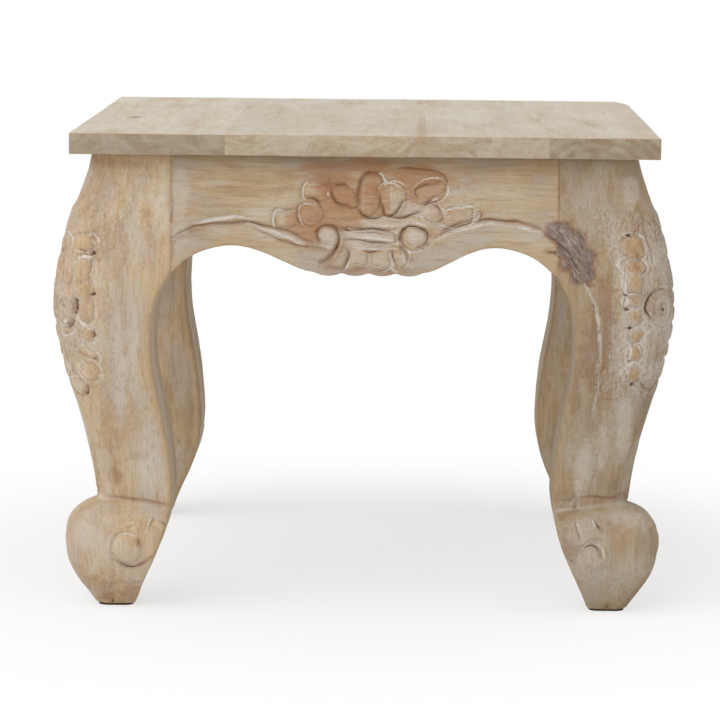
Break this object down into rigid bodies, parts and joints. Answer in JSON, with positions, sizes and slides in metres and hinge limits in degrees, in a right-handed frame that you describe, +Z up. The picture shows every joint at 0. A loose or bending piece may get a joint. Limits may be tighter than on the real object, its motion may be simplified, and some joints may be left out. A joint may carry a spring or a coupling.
{
  "type": "coffee table",
  "caption": "Low square coffee table with a plank top, carved bombe aprons and scroll-footed cabriole legs.",
  "frame": {"origin": "on the floor under the middle of the top", "axes": "+Z up, +X to the right and +Y to the back when the table is seen from its front"},
  "size_m": [0.5898, 0.5898, 0.452],
  "materials": {
    "top_wood": "whitewashed, waxed",
    "carved_wood": "whitewashed, rubbed",
    "block_wood": "bare, sawn",
    "felt": "matte felt",
    "screw_steel": "zinc plated"
  },
  "bodies": {
    "root": {"top_board_1": "top_wood", "top_board_2": "top_wood", "top_board_3": "top_wood", "top_board_4": "top_wood", "leg_front_left": "carved_wood", "leg_front_right": "carved_wood", "leg_back_right": "carved_wood", "leg_back_left": "carved_wood", "apron_front": "carved_wood", "apron_right": "carved_wood", "apron_back": "carved_wood", "apron_left": "carved_wood", "corner_block_front_left": "block_wood", "corner_block_front_right": "block_wood", "corner_block_back_right": "block_wood", "corner_block_back_left": "block_wood", "foot_glide_front_left": "felt", "foot_glide_front_right": "felt", "foot_glide_back_right": "felt", "foot_glide_back_left": "felt", "leg_screws": "screw_steel", "top_screws": "screw_steel"}
  },
  "joints": []
}
